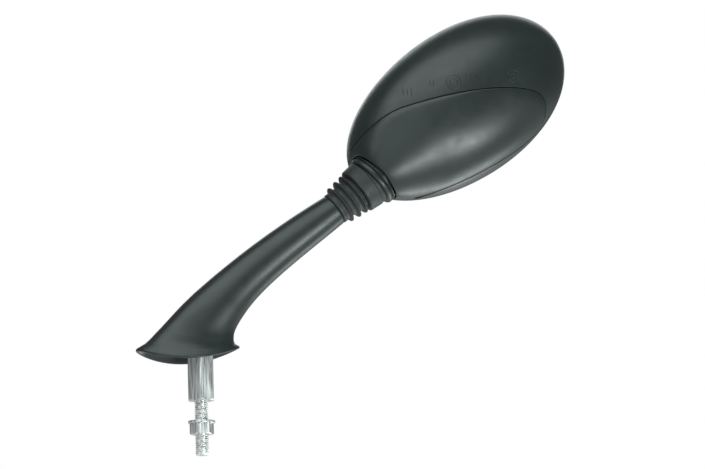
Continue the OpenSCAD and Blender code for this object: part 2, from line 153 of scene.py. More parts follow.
THREAD_PITCH = 1.25
THREAD_DEPTH = 0.62
HEX_AF = 15.0
HEX_TURN = math.radians(19)
STUD_R = 4.0
STUD_TOP = 1.0              # where the stud ends inside the hex bar
NUT_BORE = 4.03
NUT_SINK_R = 4.45           # countersink of the nut's thread at its faces
NUT_SINK = 0.55

RAY_REACH = 400             # longer than any ray through the head
RAY_START = 90              # how far behind the head a ray starts


# ---- points, curves and meshes --------------------------------------------------------------------
def bezier(points, t):
    """Point on a Bezier curve of any degree."""
    points = [np.asarray(p, float) for p in points]
    while len(points) > 1:
        points = [a + (b - a) * t for a, b in zip(points, points[1:])]
    return points[0]


def smooth(x):
    """Eased step from 0 to 1."""
    x = min(1.0, max(0.0, x))
    return x * x * (3 - 2 * x)


def on_neck(s, r, a):
    """Point at s along the arm's end axis, r from it, at angle a round it."""
    return NECK_END + NECK * s + ACROSS * (r * math.cos(a)) + SIDE * (r * math.sin(a))


def on_head_neck(h, r, a):
    """Point at h along the head's neck axis from the ball's centre."""
    return BALL + HEAD_NECK * h + HEAD_ACROSS * (r * math.cos(a)) + SIDE * (r * math.sin(a))


def upright(h, r, a):
    """Point at height h and radius r round the mounting stud."""
    return Vector((r * math.cos(a), r * math.sin(a), h))


def in_head(u, y, v):
    """Point in the head: u along it, v across it, y out of the glass."""
    return HEAD_MID + HEAD_LONG * u + SIDE * y + HEAD_SHORT * v


def make_mesh(name, points, faces):
    """Mesh object from points in millimetres, welded and with its faces turned outwards."""
    data = bpy.data.meshes.new(name)
    data.from_pydata([tuple(Vector(p) * MM) for p in points], [], faces)
    piece = bpy.data.objects.new(name, data)
    bpy.context.scene.collection.objects.link(piece)
    work = bmesh.new()
    work.from_mesh(data)
    bmesh.ops.remove_doubles(work, verts=work.verts, dist=1e-7)
    bmesh.ops.recalc_face_normals(work, faces=work.faces)
    work.to_mesh(data)
    work.free()
    data.shade_smooth()
    return piece


def ring_faces(count, rows, closed_rows=False):
    """Quads between neighbouring rings of count points."""
    faces = []
    for k in range(rows if closed_rows else rows - 1):
        low, high = k * count, ((k + 1) % rows) * count
        for i in range(count):
            j = (i + 1) % count
            faces.append((low + i, low + j, high + j, high + i))
    return faces


def loft(name, rings, closed_rows=False, caps=False):
    """Smooth mesh through equal rings of points."""
    count = len(rings[0])
    faces = ring_faces(count, len(rings), closed_rows)
    if caps:
        faces.append(tuple(range(count)))
        faces.append(tuple(range((len(rings) - 1) * count, len(rings) * count)))
    return make_mesh(name, [p for ring in rings for p in ring], faces)


def lathe(name, profile, place, count):
    """Turned mesh from a closed profile of (height, radius) pairs: place turns height, radius and
    angle into a point."""
    rings = [[place(h, r, 2 * math.pi * i / count) for i in range(count)] for h, r in profile]
    return loft(name, rings, closed_rows=True)


def rounded(profile, radius, steps=3):
    """A closed profile with each of its corners rounded."""
    points = [np.array(p, float) for p in profile]
    made = []
    for before, corner, after in zip(points[-1:] + points[:-1], points, points[1:] + points[:1]):
        to_before, to_after = before - corner, after - corner
        reach = min(radius, np.linalg.norm(to_before) * 0.45, np.linalg.norm(to_after) * 0.45)
        start = corner + to_before / np.linalg.norm(to_before) * reach
        end = corner + to_after / np.linalg.norm(to_after) * reach
        made += [tuple(bezier([start, corner, end], k / steps)) for k in range(steps + 1)]
    return made


def modify(piece, kind, **settings):
    """Adds a modifier and applies it at once."""
    added = piece.modifiers.new(kind.lower(), kind)
    for key, value in settings.items():
        setattr(added, key, value)
    bpy.context.view_layer.objects.active = piece
    with bpy.context.temp_override(object=piece, active_object=piece, selected_objects=[piece]):
        bpy.ops.object.modifier_apply(modifier=added.name)


def crisp(piece, degrees):
    """Keeps edges sharper than this many degrees crisp in an otherwise smooth mesh."""
    piece.data.set_sharp_from_angle(angle=math.radians(degrees))


# ---- materials ------------------------------------------------------------------------------------
class Finish:
    """A procedural material: a Principled shader with helpers that add noise, colour and bump."""

    def __init__(self, name, **sockets):
        self.material = bpy.data.materials.new(name)
        self.material.use_nodes = True
        self.tree = self.material.node_tree
        self.shader = self.tree.nodes["Principled BSDF"]
        self.place = self.tree.nodes.new("ShaderNodeTexCoord").outputs["Object"]
        self.normal = None
        for key, value in sockets.items():
            self.shader.inputs[key.replace("_", " ")].default_value = value

    def node(self, kind, **inputs):
        """New node with its inputs set to values or linked to sockets."""
        made = self.tree.nodes.new(kind)
        for key, value in inputs.items():
            socket = made.inputs[key.replace("_", " ")]
            if isinstance(value, bpy.types.NodeSocket):
                self.tree.links.new(value, socket)
            else:
                socket.default_value = value
        return made

    def stretched(self, scale):
        """Coordinates scaled along X, Y and Z."""
        return self.node("ShaderNodeMapping", Vector=self.place, Scale=scale).outputs["Vector"]

    def noise(self, scale, detail=3.0, rough=0.55, place=None):
        """Noise in the object's coordinates, or at another place."""
        return self.node("ShaderNodeTexNoise", Vector=place or self.place, Scale=scale, Detail=detail,
                         Roughness=rough).outputs["Fac"]

    def span(self, value, low, high):
        """The middle of a noise, which is what it mostly gives, turned to low..high."""
        made = self.node("ShaderNodeMapRange", Value=value)
        for key, number in (("From Min", 0.3), ("From Max", 0.7), ("To Min", low), ("To Max", high)):
            made.inputs[key].default_value = number
        return made.outputs["Result"]

    def colour(self, value, stops):
        """Colour ramp from (place, colour) stops, into the base colour."""
        ramp = self.node("ShaderNodeValToRGB", Fac=value)
        while len(ramp.color_ramp.elements) < len(stops):
            ramp.color_ramp.elements.new(0.5)
        for element, (place, colour) in zip(ramp.color_ramp.elements, stops):
            element.position = place
            element.color = (*colour, 1)
        self.tree.links.new(ramp.outputs["Color"], self.shader.inputs["Base Color"])

    def roughness(self, value):
        """Links a value to the shader's roughness."""
        self.tree.links.new(value, self.shader.inputs["Roughness"])

    def bump(self, value, height_mm, strength=1.0):
        """Adds relief of this height to what is already there."""
        made = self.node("ShaderNodeBump", Height=value, Strength=strength, Distance=height_mm * MM)
        if self.normal is not None:
            self.tree.links.new(self.normal, made.inputs["Normal"])
        self.normal = made.outputs["Normal"]
        self.tree.links.new(self.normal, self.shader.inputs["Normal"])


def moulded_plastic(name, dark, light, rough):
    """Matte moulded plastic with a fine spark-eroded grain and faint flow marks."""
    made = Finish(name, Specular_IOR_Level=0.5)
    grain = 0.012         # height of the grain in millimetres
    made.colour(made.noise(38, detail=5), [(0.3, dark), (0.7, light)])
    made.roughness(made.span(made.noise(160, detail=4), *rough))
    made.bump(made.noise(2300, detail=2, rough=0.6), grain)
    made.bump(made.noise(420, detail=2), grain * 0.8, strength=0.6)
    return made.material


def boot_rubber(name):
    """Soft black rubber with a light bloom."""
    made = Finish(name, Specular_IOR_Level=0.42)
    made.colour(made.noise(120, detail=6), [(0.3, (0.018, 0.021, 0.021)), (0.75, (0.034, 0.040, 0.039))])
    made.roughness(made.span(made.noise(350, detail=3), 0.48, 0.62))
    made.bump(made.noise(1500, detail=3), 0.01)
    return made.material


def zinc_plate(name, along=(900, 900, 60)):
    """Bright zinc plating with drawn lines along the bar and faint stains."""
    made = Finish(name, Metallic=0.72)
    tint = (0.80, 0.81, 0.80)
    deep, bright = (tuple(min(1.0, c * part) for c in tint) for part in (0.55, 1.3))
    drawn = made.noise(1.0, detail=3, place=made.stretched(along))
    made.colour(drawn, [(0.36, deep), (0.5, tint), (0.64, bright)])
    made.roughness(made.span(drawn, 0.24, 0.42))
    made.bump(drawn, 0.012, strength=0.7)
    made.bump(made.noise(700, detail=2), 0.008, strength=0.6)
    return made.material


def turned_steel(name):
    """Oiled, turned or drawn steel."""
    made = Finish(name, Metallic=1.0)
    tint = (0.42, 0.42, 0.41)
    made.colour(made.noise(300, detail=5), [(0.3, tuple(c * 0.7 for c in tint)), (0.7, tint)])
    made.roughness(made.span(made.noise(900, detail=2), 0.28, 0.42))
    made.bump(made.noise(1400, detail=2), 0.006)
    return made.material


def nylon(name):
    """Natural nylon, a little translucent."""
    made = Finish(name, Subsurface_Weight=0.1, Subsurface_Scale=0.002)
    made.colour(made.noise(200, detail=3), [(0.3, (0.76, 0.74, 0.66)), (0.7, (0.84, 0.82, 0.75))])
    made.roughness(made.span(made.noise(600), 0.35, 0.45))
    made.bump(made.noise(1800), 0.004)
    return made.material


def foam(name):
    """Black foam with open cells."""
    made = Finish(name, Specular_IOR_Level=0.2)
    cells = made.node("ShaderNodeTexVoronoi", Vector=made.place, Scale=1600.0).outputs["Distance"]
    made.colour(cells, [(0.1, (0.03, 0.03, 0.03)), (0.7, (0.12, 0.12, 0.12))])
    made.roughness(made.span(cells, 0.85, 0.95))
    made.bump(cells, 0.2)
    return made.material


def mirror_face(name):
    """Silvered convex glass with the faintest haze."""
    made = Finish(name, Metallic=1.0, Coat_Weight=1.0, Coat_Roughness=0.01, Coat_IOR=1.5)
    made.colour(made.noise(20, detail=2), [(0.3, (0.80, 0.84, 0.85)), (0.7, (0.83, 0.865, 0.875))])
    made.roughness(made.span(made.noise(90, detail=4), 0.012, 0.03))
    return made.material


PLASTIC = moulded_plastic("moulded_black", (0.0125, 0.0175, 0.0178), (0.0185, 0.0250, 0.0250),
                          (0.31, 0.39))
INNER_PLASTIC = moulded_plastic("inner_plastic", (0.02, 0.02, 0.02), (0.035, 0.035, 0.035), (0.5, 0.6))
RUBBER = boot_rubber("boot_rubber")
ZINC = zinc_plate("zinc_steel")
ZINC_THREAD = zinc_plate("zinc_thread", along=(500, 500, 500))
STEEL = turned_steel("plain_steel")
NYLON = nylon("nylon")
FOAM = foam("foam")
MIRROR = mirror_face("mirror_glass")


def finish_piece(piece, material, body, replaces=()):
    """Gives a new piece its material, its CAD body and the nodes it stands for."""
    piece.data.materials.clear()
    piece.data.materials.append(material)
    if body:
        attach(piece, body)
    if replaces:
        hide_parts(*replaces)
    return piece


# ---- head: its outer form -------------------------------------------------------------------------
def fuller(angle):
    """How much wider the head is at this angle than a plain ellipse."""
    c = math.cos(angle)
    return 1 + HEAD_FULLER[0] * c + HEAD_FULLER[1] * c * c


def egg(inset, angle, scale=1.0):
    """Outline of the head in its plane, a little fuller towards its free end."""
    return ((HEAD_A - inset) * scale * math.cos(angle),
            (HEAD_B - inset) * scale * math.sin(angle) * fuller(angle))


def egg_middle():
    """Middle of the glass's box relative to the head's centre."""
    turned = [HEAD_LONG * u + HEAD_SHORT * v
              for u, v in (egg(GLASS_INSET, math.radians(a)) for a in range(360))]
    return Vector([(min(p[k] for p in turned) + max(p[k] for p in turned)) / 2 for k in range(3)])


GLASS_BOX = [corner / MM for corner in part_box("mirror_glass")]
HEAD_MID = (GLASS_BOX[0] + GLASS_BOX[1]) / 2 - egg_middle()
HEAD_MID.y = 0


def egg_ring(inset, y, count, scale=1.0):
    """Ring of points round the head's outline."""
    outline = (egg(inset, 2 * math.pi * i / count, scale) for i in range(count))
    return [in_head(u, y, v) for u, v in outline]


def head_form():
    """The head's outer form as a surface to cast rays at: the dome blended into its round neck."""
    count, steps, neck_count = 300, 60, 240
    last = math.radians(89.5)      # just short of the dome's top, so that its last ring isn't a point
    points = [p for inset, down in RIM_STEPS for p in egg_ring(inset, RIM_Y - down, count)]
    for k in range(steps + 1):
        a = last * k / steps
        depth, scale = (f(a) ** (2 / DOME_POWER) for f in (math.sin, math.cos))
        points += egg_ring(0, WIDE_Y - HEAD_DEPTH * depth, count, scale)
    points += [on_head_neck(COLLAR_H, COLLAR_R, 2 * math.pi * i / neck_count) for i in range(neck_count)]
    work = bmesh.new()
    for p in points:
        work.verts.new(p)
    hull = bmesh.ops.convex_hull(work, input=work.verts)
    spare = {g for g in hull["geom_interior"] + hull["geom_unused"]
             if isinstance(g, bmesh.types.BMVert)}
    bmesh.ops.delete(work, geom=list(spare), context="VERTS")
    bmesh.ops.recalc_face_normals(work, faces=work.faces)
    tree = BVHTree.FromBMesh(work)
    work.free()
    return tree


FORM = head_form()
CORE = in_head(0, SPLIT_Y, -5)      # a point well inside the head, level with the split
NECK_MOUTH = on_head_neck(COLLAR_H, 0, 0)


def surface(towards):
    """Where the ray from inside the head towards a point leaves the head."""
    direction = (Vector(towards) - CORE).normalized()
    hit, normal, _, _ = FORM.ray_cast(CORE, direction, RAY_REACH)
    return hit, normal


def from_behind(u, v):
    """Point and normal of the head's back at a place in its plane."""
    hit, normal, _, _ = FORM.ray_cast(in_head(u, -RAY_START, v), SIDE, RAY_REACH)
    return hit, normal


def neck_edge(angle):
    """Where the notch round the neck meets the head's form."""
    hit, _, _, _ = FORM.ray_cast(on_head_neck(-RAY_START, NOTCH_R, angle), HEAD_NECK, RAY_REACH)
    return hit


def panel_edge(shift):
    """Edge of the lower panel on the head's form, moved outwards by shift, as two chains of points
    that share their ends: round the panel's outline and the split plane, and along the neck's mouth."""
    steps = 60
    outline = np.array([bezier(c, k / steps) for c in PANEL_CURVES for k in range(steps)])
    ahead, behind = np.roll(outline, -1, axis=0), np.roll(outline, 1, axis=0)
    tangent = ahead - behind
    tangent /= np.linalg.norm(tangent, axis=1)[:, None]
    outline = outline + np.column_stack((-tangent[:, 1], tangent[:, 0])) * shift
    split = SPLIT_Y + shift
    across = []
    for u, v in outline:
        hit, _ = from_behind(u, v)
        across.append(hit if hit is not None and hit.y < split else None)
    # start at the first point on the back after the stretch that misses it
    first = next(i for i in range(len(across)) if across[i] is not None and across[i - 1] is None)
    back = [p for p in across[first:] + across[:first] if p is not None]

    def level(start, end, parts=24):
        """Along the split plane from one point to another, short way round."""
        a0, a1 = (math.atan2((p - HEAD_MID) @ HEAD_SHORT, (p - HEAD_MID) @ HEAD_LONG)
                  for p in (start, end))
        turn = (a1 - a0 + math.pi) % (2 * math.pi) - math.pi
        found = []
        for k in range(1, parts):
            a = a0 + turn * k / parts
            ray = HEAD_LONG * math.cos(a) + HEAD_SHORT * math.sin(a)
            found.append(FORM.ray_cast(HEAD_MID + SIDE * split, ray, RAY_REACH)[0])
        return found

    # the neck's edge runs behind the split for the panel and in front of it for the shell
    side = math.asin(split / NOTCH_R)
    turn = -(math.pi + 2 * side) if shift < 0 else math.pi - 2 * side
    neck = [neck_edge(side + turn * k / steps) for k in range(steps + 1)]
    if (back[-1] - neck[0]).length > (back[-1] - neck[-1]).length:
        neck.reverse()
    return neck[-1:] + level(neck[-1], back[0]) + back + level(back[-1], neck[0]) + neck[:1], neck


def resample(chain, count):
    """Points evenly spaced along a chain, both ends included."""
    points = np.array([tuple(p) for p in chain])
    steps = np.linalg.norm(np.diff(points, axis=0), axis=1)
    points = points[np.concatenate(([True], steps > 1e-4))]
    along = np.concatenate(([0], np.cumsum(np.linalg.norm(np.diff(points, axis=0), axis=1))))
    places = np.linspace(0, along[-1], count)
    return [Vector([np.interp(p, along, points[:, k]) for k in range(3)]) for p in places]


def skin(name, inner, outer, rows):
    """Surface on the head's form between two loops of equal count, faced away from its middle."""
    rings = [inner]
    for k in range(1, rows):
        rings.append([surface(a + (b - a) * (k / rows))[0] for a, b in zip(inner, outer)])
    rings.append(outer)
    piece = make_mesh(name, [p for ring in rings for p in ring], ring_faces(len(inner), len(rings)))
    away = sum(1 if (f.center - CORE * MM) @ f.normal > 0 else -1 for f in piece.data.polygons)
    if away < 0:
        piece.data.flip_normals()
    return piece


def round_edges(piece):
    """Rounds the sharp edges of a wall."""
    modify(piece, "BEVEL", width=EDGE_ROUND * MM, segments=3, limit_method="ANGLE",
           angle_limit=math.radians(50), use_clamp_overlap=True)
    crisp(piece, 55)


def round_neck(point):
    """Place of a point along the head's neck axis from the neck's end, and its angle round the axis."""
    rel = point - NECK_MOUTH
    angle = math.atan2(rel @ SIDE, rel @ HEAD_ACROSS)
    return rel @ HEAD_NECK, (angle + 1.5 * math.pi) % (2 * math.pi) - 1.5 * math.pi


def from_neck_axis(s, angle):
    """Where a line square to the head's neck axis meets the head, and the outward normal there."""
    towards = HEAD_ACROSS * math.cos(angle) + SIDE * math.sin(angle)
    start = NECK_MOUTH + HEAD_NECK * s + towards * (RAY_REACH / 2)
    hit, normal, _, _ = FORM.ray_cast(start, -towards, RAY_REACH)
    return hit, normal


def lower_panel():
    """Inset cover, crowned a little over the shell round it: a sheet with four sides, which are the
    neck's mouth, two long sides and the far end, and its wall."""
    around, neck = panel_edge(-SEAM_GAP / 2)
    wide, long, fineness = 72, 132, 1000
    far_start, far_end = 0.40, 0.61      # where the far end lies along the outline
    fine = resample(around[::-1], fineness + 1)
    start, end = int(fineness * far_start), int(fineness * far_end)
    sides = [resample(neck, wide + 1), resample(fine[start:end + 1], wide + 1),
             resample(fine[:start + 1], long + 1), resample(fine[end:][::-1], long + 1)]
    near, far, left, right = (np.array([round_neck(p) for p in side]) for side in sides)

    def spot(i, j):
        """Point and outward normal on the head's form at column i and row j."""
        edges = ((j == 0, 0, i), (j == long, 1, i), (i == 0, 2, j), (i == wide, 3, j))
        for at_edge, side, k in edges:
            if at_edge:
                return sides[side][k], FORM.find_nearest(sides[side][k])[1]
        u, v = i / wide, j / long
        place = (1 - v) * near[i] + v * far[i] + (1 - u) * left[j] + u * right[j]
        place -= (1 - v) * ((1 - u) * near[0] + u * near[-1]) + v * ((1 - u) * far[0] + u * far[-1])
        return from_neck_axis(*place)

    outer, inner = [], []
    for j in range(long + 1):
        for i in range(wide + 1):
            point, normal = spot(i, j)
            t = max(abs(2 * i / wide - 1), abs(2 * j / long - 1))
            top = point + normal * (PANEL_LIFT * (1 - t ** PANEL_CROWN) + PANEL_EDGE_LIFT)
            outer.append(top)
            inner.append(top - normal * SHELL_T)
    row = wide + 1
    faces = [(j * row + i, j * row + i + 1, (j + 1) * row + i + 1, (j + 1) * row + i)
             for j in range(long) for i in range(wide)]
    last = long * row
    rim = (list(range(wide)) + [j * row + wide for j in range(long)]
           + [last + i for i in range(wide, 0, -1)] + [j * row for j in range(long, 0, -1)])
    count = len(outer)
    faces += [tuple(count + k for k in face) for face in faces]
    faces += [(a, b, count + b, count + a) for a, b in zip(rim, rim[1:] + rim[:1])]
    piece = make_mesh("lower_panel_cover", outer + inner, faces)
    round_edges(piece)
    finish_piece(piece, PLASTIC, "head", ["lower_panel"])


def back_shell():
    """Main shell, from the panel's seam and the neck out to its front rim."""
    around, neck = panel_edge(SEAM_GAP / 2)
    edge = resample(around + neck[1:], 401)[:-1]
    mid_u, mid_v = SHELL_MIDDLE
    middle = HEAD_MID + HEAD_LONG * mid_u + HEAD_SHORT * mid_v

    def rim_point(towards):
        """Point of the front rim in the same direction from the middle, found by bisection on a ray."""
        wanted = math.atan2((towards - middle) @ HEAD_SHORT, (towards - middle) @ HEAD_LONG)
        low, high = 0.0, RAY_REACH / 2
        ray = (math.cos(wanted), math.sin(wanted))
        for _ in range(40):
            reach = (low + high) / 2
            u, v = mid_u + ray[0] * reach, mid_v + ray[1] * reach
            rough = math.atan2(v / HEAD_B, u / HEAD_A)
            angle = math.atan2(v / (HEAD_B * fuller(rough)), u / HEAD_A)
            if math.hypot(u, v) < math.hypot(*egg(RIM_STEPS[0][0], angle)):
                low = reach
            else:
                high = reach
        return in_head(mid_u + ray[0] * low, RIM_Y, mid_v + ray[1] * low)

    piece = skin("back_shell_moulding", edge, [rim_point(p) for p in edge], 60)
    modify(piece, "SOLIDIFY", thickness=SHELL_T * MM, offset=-1, use_even_offset=False,
           use_quality_normals=True)
    round_edges(piece)
    finish_piece(piece, PLASTIC, "head", ["back_shell"])


def moulded_marks():
    """Plain raised rings and bars on the shell, with no lettering."""
    def tube(name, path, closed):
        curve = bpy.data.curves.new(name, "CURVE")
        curve.dimensions = "3D"
        curve.bevel_depth = MARK_R * MM
        curve.bevel_resolution = 3
        curve.use_fill_caps = True
        line = curve.splines.new("POLY")
        line.points.add(len(path) - 1)
        for point, p in zip(line.points, path):
            point.co = (*(p * MM), 1)
        line.use_cyclic_u = closed
        made = bpy.data.objects.new(name, curve)
        bpy.context.scene.collection.objects.link(made)
        with bpy.context.temp_override(object=made, active_object=made, selected_objects=[made],
                                       selected_editable_objects=[made]):
            bpy.context.view_layer.objects.active = made
            bpy.ops.object.convert(target="MESH")
        made = bpy.context.view_layer.objects.active
        made.data.shade_smooth()
        return finish_piece(made, PLASTIC, "head")

    def on_shell(u, v):
        hit, normal = from_behind(u, v)
        return hit - normal * MARK_SINK

    for number, (u, v, radius) in enumerate(MARK_RINGS):
        path = [on_shell(u + radius * math.cos(a), v + radius * math.sin(a))
                for a in (2 * math.pi * k / 64 for k in range(64))]
        tube(f"mould_ring_{number}", path, True)
    lean = (math.sin(HEAD_ANGLE), math.cos(HEAD_ANGLE))
    for number, (u, v, length) in enumerate(MARK_BARS):
        path = [on_shell(u + lean[0] * (k / 8 - 0.5) * length, v + lean[1] * (k / 8 - 0.5) * length)
                for k in range(9)]
        tube(f"mould_bar_{number}", path, False)


# ---- head: the glass ------------------------------------------------------------------------------
def mirror_glass():
    """Convex glass with ground edges."""
    count, rows = 180, 28
    edge_inset = 0.3      # where the ground edge starts, inwards from the glass's outline
    middle_scale = 0.01

    def front(u, v):
        return GLASS_Y + GLASS_T + GLASS_BULGE - (u * u + v * v) / (2 * GLASS_RADIUS)

    def glass_ring(inset, down, scale=1.0):
        outline = (egg(GLASS_INSET + inset, 2 * math.pi * i / count, scale) for i in range(count))
        return [in_head(u, front(u, v) - down, v) for u, v in outline]

    rings = []
    for k in range(rows + 1):
        rings.append(glass_ring(edge_inset, 0, middle_scale + (1 - middle_scale) * k / rows))
    rings += [glass_ring(inset, down) for inset, down in ((0.05, 0.3), (0.05, 1.3), (edge_inset, 1.6))]
    piece = loft("convex_glass", rings, caps=True)
    crisp(piece, 30)
    finish_piece(piece, MIRROR, "head", ["mirror_glass"])


def glass_bezel():
    """Soft ring with a rounded lip over the edge of the glass."""
    back = GLASS_Y - 0.6
    front = GLASS_Y + GLASS_T
    seat = GLASS_INSET - 0.1
    profile = rounded([(BEZEL_INSET, back), (BEZEL_INSET, front + 0.8), (BEZEL_LIP - 0.6, front + 1.0),
                       (BEZEL_LIP, front + 0.3), (seat, front - 0.1), (seat, back)], 0.35)
    rings = [egg_ring(inset, y, 220) for inset, y in profile]
    piece = loft("soft_bezel", rings, closed_rows=True)
    crisp(piece, 50)
    finish_piece(piece, RUBBER, "head", ["glass_bezel"])


def glass_pad():
    """Foam sheet with a soft edge between the chassis and the glass."""
    low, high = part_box("glass_pad")[0].y / MM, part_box("glass_pad")[1].y / MM
    edge = [(8.4, low), (8.05, low + 0.25), (8.05, high - 0.25), (8.4, high)]
    rings = [egg_ring(inset, y, 160) for inset, y in edge]
    piece = loft("foam_pad", rings, caps=True)
    crisp(piece, 60)
    finish_piece(piece, FOAM, "head", ["glass_pad"])


# ---- arm ------------------------------------------------------------------------------------------
def plane_point(x, z):
    """Point in the arm's plane."""
    return np.array([x, z], float)


# Upper and lower edges of the arm in the XZ plane, from its end to the foot
ARM_END = plane_point(NECK_END.x, NECK_END.z)
ARM_OUT = plane_point(ACROSS.x, ACROSS.z) * NECK_R
ARM_UPPER = [ARM_END + ARM_OUT, plane_point(42.2, 101.2), plane_point(-0.2, 70.6),
             plane_point(FOOT_X - FOOT_RX, FOOT_Z - TIP_RISE)]
ARM_LOWER = [ARM_END - ARM_OUT, plane_point(59.4, 82.5), plane_point(12.6, 50.8),
             plane_point(FOOT_X + FOOT_RX, FOOT_Z + TIP_RISE)]
ARM_ROUND = 128


def arm_ring(t, inset, drop=0.0):
    """One ring of the arm at t = 0 (its end) to 1 (the foot), drawn in by inset and lowered by drop."""
    up, low = bezier(ARM_UPPER, t), bezier(ARM_LOWER, t)
    mid, half = (up + low) / 2, (up - low) / 2
    if t > FLARE_T:
        inset += FOOT_WAIST * math.sin(math.pi * ((t - FLARE_T) / (1 - FLARE_T)) ** 2)
    k = 1 - inset / np.linalg.norm(half)
    depth = NECK_R + (FOOT_RY - NECK_R) * t ** 3 - inset
    sag = FOOT_SAG * t ** 9
    ring = []
    for i in range(ARM_ROUND):
        a = 2 * math.pi * i / ARM_ROUND
        ring.append(Vector((mid[0] + half[0] * k * math.cos(a), depth * math.sin(a),
                            mid[1] + half[1] * k * math.cos(a) - sag * math.sin(a) ** 2 - drop)))
    return ring


def arm_wall(t):
    """Thickness of the arm's wall at t."""
    return ARM_WALL[0] + (ARM_WALL[1] - ARM_WALL[0]) * t


def arm_shell():
    """Moulded arm: round at its end, flared at the foot, with a rounded lip and a hollow underside."""
    outer_steps, inner_steps = 150, 60
    lip_t = 0.965         # where the lip starts along the arm
    start = [arm_ring(0, 0.7), arm_ring(0.0012, 0.25), arm_ring(0.003, 0.05)]
    outer = [arm_ring(t, RIM_BEAD * smooth((t - 0.9) / 0.05))
             for t in (lip_t * (1 - (1 - k / outer_steps) ** 1.2) for k in range(1, outer_steps + 1))]
    lip = [arm_ring(1, inset, drop) for inset, drop in
           ((RIM_BEAD, -1.2), (RIM_BEAD * 0.75, -1.0), (0.05, -0.75), (0, -0.45), (0, 0), (0.1, 0.25),
            (0.4, 0.42), (0.85, 0.45), (1.3, 0.38), (1.8, 0.15), (2.1, -0.4))]
    inner = [arm_ring(t, arm_wall(t)) for t in (1 - k / inner_steps for k in range(1, inner_steps + 1))]
    piece = loft("arm_moulding", start + outer + lip + inner, closed_rows=True)
    crisp(piece, 60)
    finish_piece(piece, PLASTIC, "arm", ["arm_shell"])


# ---- boot -----------------------------------------------------------------------------------------
def valley(s):
    """Radius of the boot between its fins."""
    return 9.3 + 0.07 * s


def boot_outline():
    """Outside of the boot from the arm's end to its collar's top, as (place, radius) pairs."""
    points = [(0.15, 9.3), (0.35, 9.75), (0.8, 9.9), (2.4, 9.9)]
    for s, r in FINS:
        root = valley(s)
        points += [(s - 1.7, root), (s - 1.0, root + 0.5), (s - 0.55, r - 1.1), (s - 0.42, r - 0.4),
                   (s - 0.15, r - 0.05), (s + 0.2, r), (s + 0.5, r - 0.15), (s + 0.75, r - 0.6),
                   (s + 0.9, r - 1.4), (s + 1.2, root + 0.5), (s + 1.8, root)]
    (low, high), (low_r, high_r), root = COLLAR_S, COLLAR_RIM, valley(COLLAR_S[0])
    return points + [(low - 1, root), (low - 0.75, root + 0.9), (low - 0.5, low_r - 0.8),
                     (low - 0.2, low_r - 0.2), (low + 0.2, low_r), (low + 0.8, low_r + 0.02),
                     (high - 0.8, high_r - 0.02), (high - 0.25, high_r - 0.1), (high, high_r - 0.5)]


def boot():
    """Bellows and collar that meet in the groove between them, and the collar's seat under the neck ring."""
    outline = boot_outline()
    low, high = COLLAR_S
    arm_side = [p for p in outline if p[0] <= BOOT_SPLIT]
    head_side = [p for p in outline if p[0] >= BOOT_SPLIT]
    inner_low = [(BOOT_SPLIT, valley(BOOT_SPLIT) - BOOT_T), (5, valley(5) - BOOT_T), (0.15, 7.8)]
    inner_high = [(high, 13.2), (low + 1, 12.5), (low, valley(low) - BOOT_T),
                  (BOOT_SPLIT, valley(low) - BOOT_T)]
    seat_outline = [(SEAT_H[0], SEAT_R[0]), (SEAT_H[0], SEAT_R[1]), (SEAT_H[1], SEAT_R[1]),
                    (SEAT_H[1], SEAT_R[0])]
    bellows = lathe("boot_bellows", arm_side + inner_low, on_neck, 160)
    collar = lathe("boot_collar", head_side + inner_high, on_neck, 160)
    seat = lathe("boot_seat", seat_outline, on_head_neck, 160)
    for piece in (bellows, collar, seat):
        crisp(piece, 70)
    finish_piece(bellows, RUBBER, None, ["boot"])
    finish_piece(collar, RUBBER, None)
    finish_piece(seat, RUBBER, "head")
    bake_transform(bellows)
    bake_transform(collar)


def neck_ring():
    """Lip ring in the head's neck, with a shoulder that closes the gap to the head and a sleeve."""
    lip = [(-6.5, 15.6), (-6.3, 16.2), (-5.8, 16.55), (-4.9, 16.62), (-4.0, 16.55), (-3.5, 16.2)]
    shoulder = [(-3.35, 15.7), (-2.95, 15.6), (-2.85, 16.4), (-2.75, 16.5), (-2.4, 16.5), (-2.3, 16.35)]
    sleeve = [(-2.3, 14.0), (5.0, 14.0), (5.0, 12.95), (-6.5, 12.95)]
    piece = lathe("neck_lip_ring", lip + shoulder + sleeve, on_head_neck, 160)
    crisp(piece, 45)
    finish_piece(piece, PLASTIC, "head", ["neck_ring"])


# ---- mounting hardware ----------------------------------------------------------------------------
def hex_radius(angle, flats):
    """Radius of a hexagon with blunted corners."""
    corner, blunting = 0.35, 0.35      # how far from the tip it starts, and what is left past that
    turn = (angle + math.pi / 6) % (math.pi / 3) - math.pi / 6
    sharp = flats / 2 / math.cos(math.pi / 6 - abs(turn))
    limit = flats / 2 / math.cos(math.pi / 6) - corner
    return sharp if sharp < limit else limit + (sharp - limit) * blunting


def hex_rings(flats, levels, spin=0.0):
    """Rings of a hex bar: levels are (height, greatest radius) pairs."""
    count = 144
    rings = []
    for z, limit in levels:
        ring = []
        for i in range(count):
            a = 2 * math.pi * i / count
            r = min(hex_radius(a, flats), limit)
            ring.append(Vector((r * math.cos(a + spin), r * math.sin(a + spin), z)))
        rings.append(ring)
    return rings


